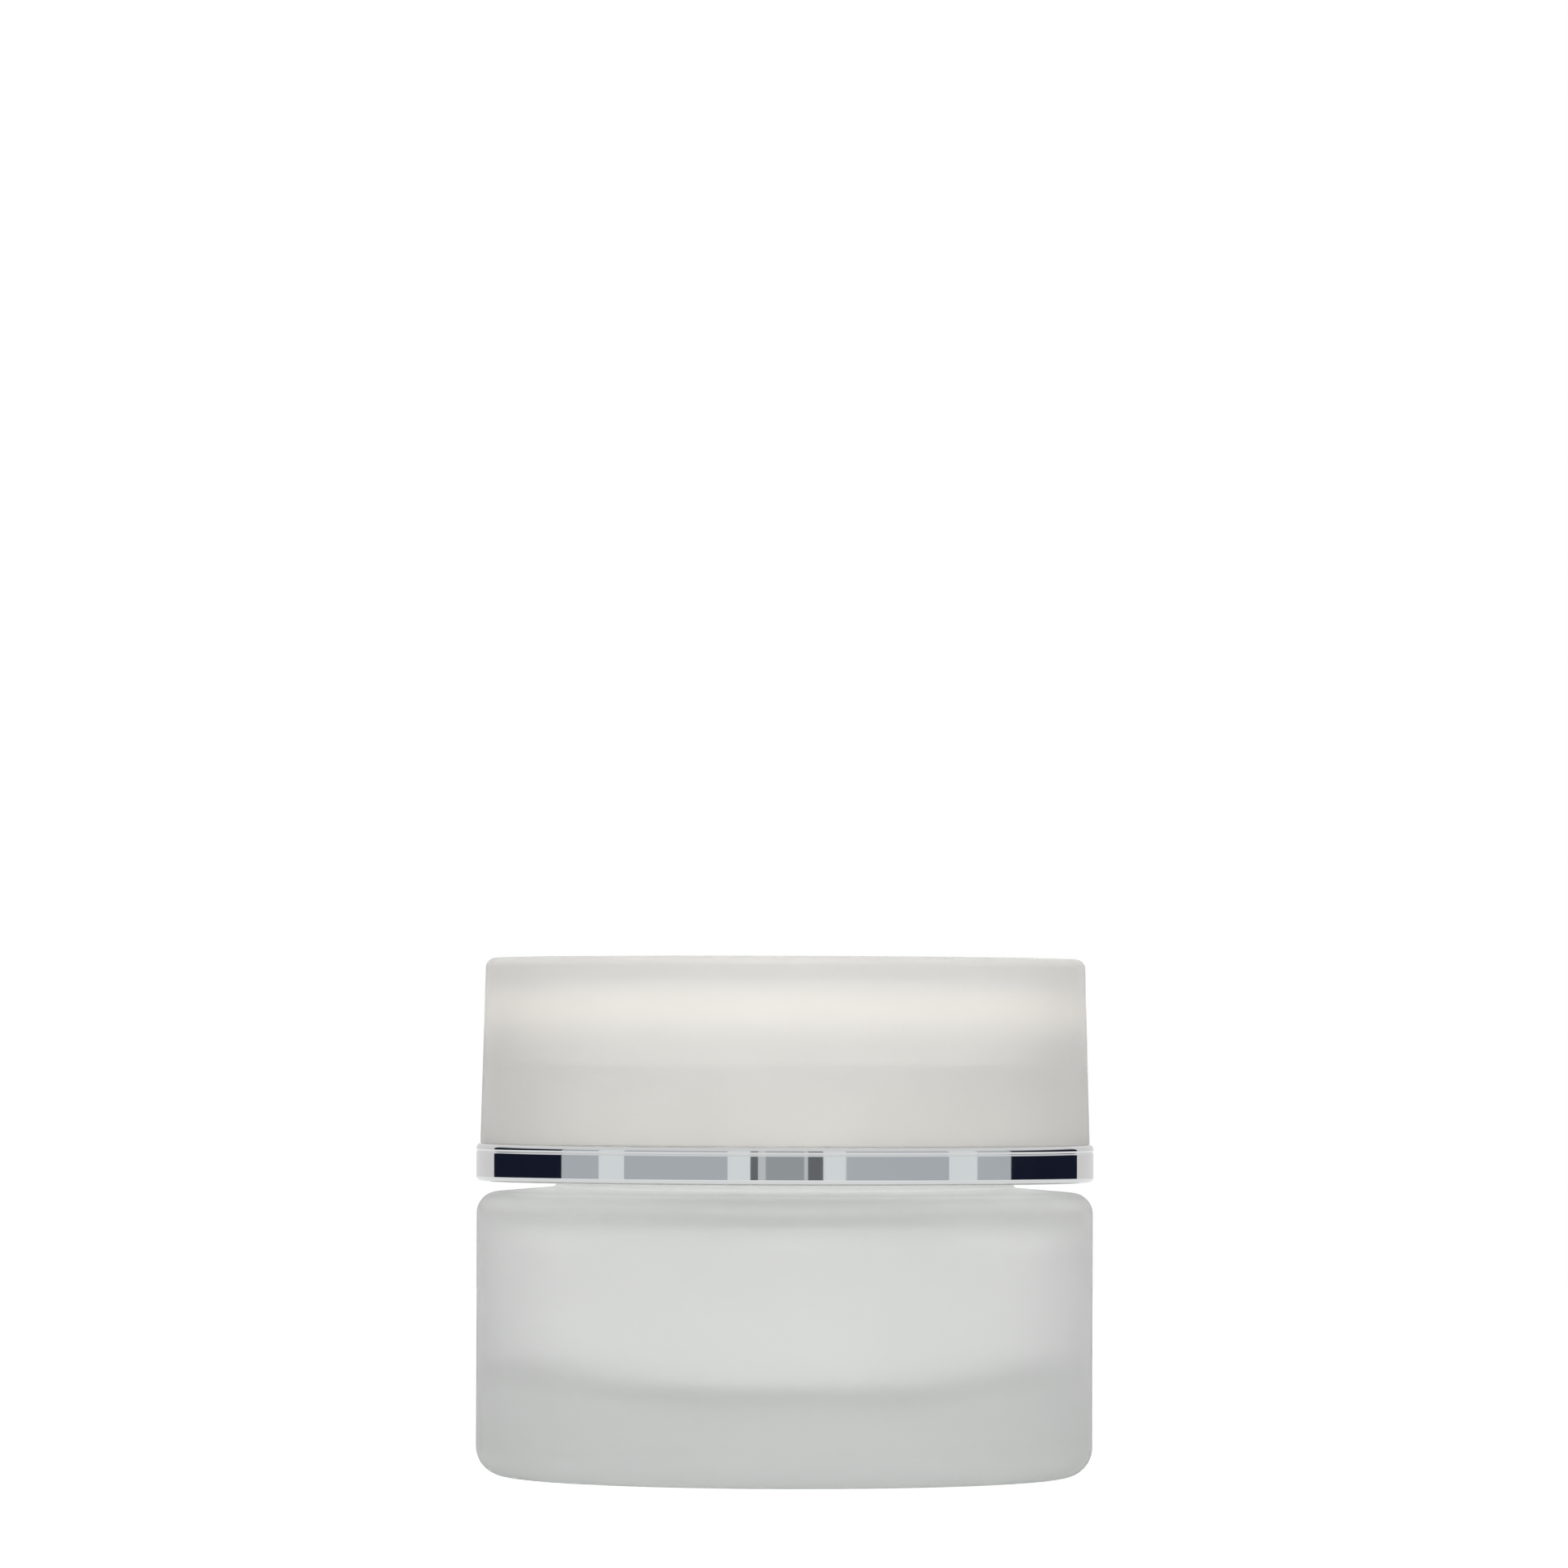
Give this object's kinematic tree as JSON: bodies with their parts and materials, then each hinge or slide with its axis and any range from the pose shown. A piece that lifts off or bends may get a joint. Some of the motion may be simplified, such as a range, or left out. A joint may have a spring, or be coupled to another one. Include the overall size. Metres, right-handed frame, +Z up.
{
  "type": "cosmetic cream jar",
  "caption": "Frosted glass cream jar with a screw lid: frosted shell over a bright metal ring, inner cap with liner, and a pull-off sealing disc in the mouth.",
  "frame": {"origin": "middle of the base, on the surface that the jar stands on", "axes": "+Z up along the jar's axis; the jar is round, so +X and +Y are any two level directions; the thread's ends are the only features that mark them"},
  "size_m": [0.064, 0.064, 0.0536],
  "materials": {
    "frosted_glass": "acid-frosted outside, clear inside",
    "frosted_shell": "satin, translucent",
    "bright_metal": "mirror polish",
    "white_plastic": "moulded satin",
    "liner_foam": "fine foam with a smooth skin"
  },
  "bodies": {
    "jar": {"glass_jar": "frosted_glass"},
    "seal": {"sealing_disc": "white_plastic"},
    "liner": {"cap_liner": "liner_foam"},
    "cap": {"inner_cap": "white_plastic", "chrome_ring": "bright_metal", "cap_shell": "frosted_shell"}
  },
  "joints": [
    {"name": "cap_lift", "type": "slide", "parent": "jar", "child": "liner", "axis": [0, 0, 1], "range_m": [0, 0.01485]},
    {"name": "cap_turn", "type": "hinge", "parent": "liner", "child": "cap", "pos_m": [0, 0, 0.0305], "axis": [0, 0, 1], "range_deg": [0, 1260]},
    {"name": "disc_lift", "type": "slide", "parent": "jar", "child": "seal", "axis": [0, 0, 1], "range_m": [0, 0.0046]}
  ],
  "couplings": [
    {"joint": "cap_lift", "follows": "cap_turn", "m_per_rad": 0.00067322},
    {"joint": "disc_lift", "follows": "cap_turn", "m_per_rad": 0.00020463}
  ]
}
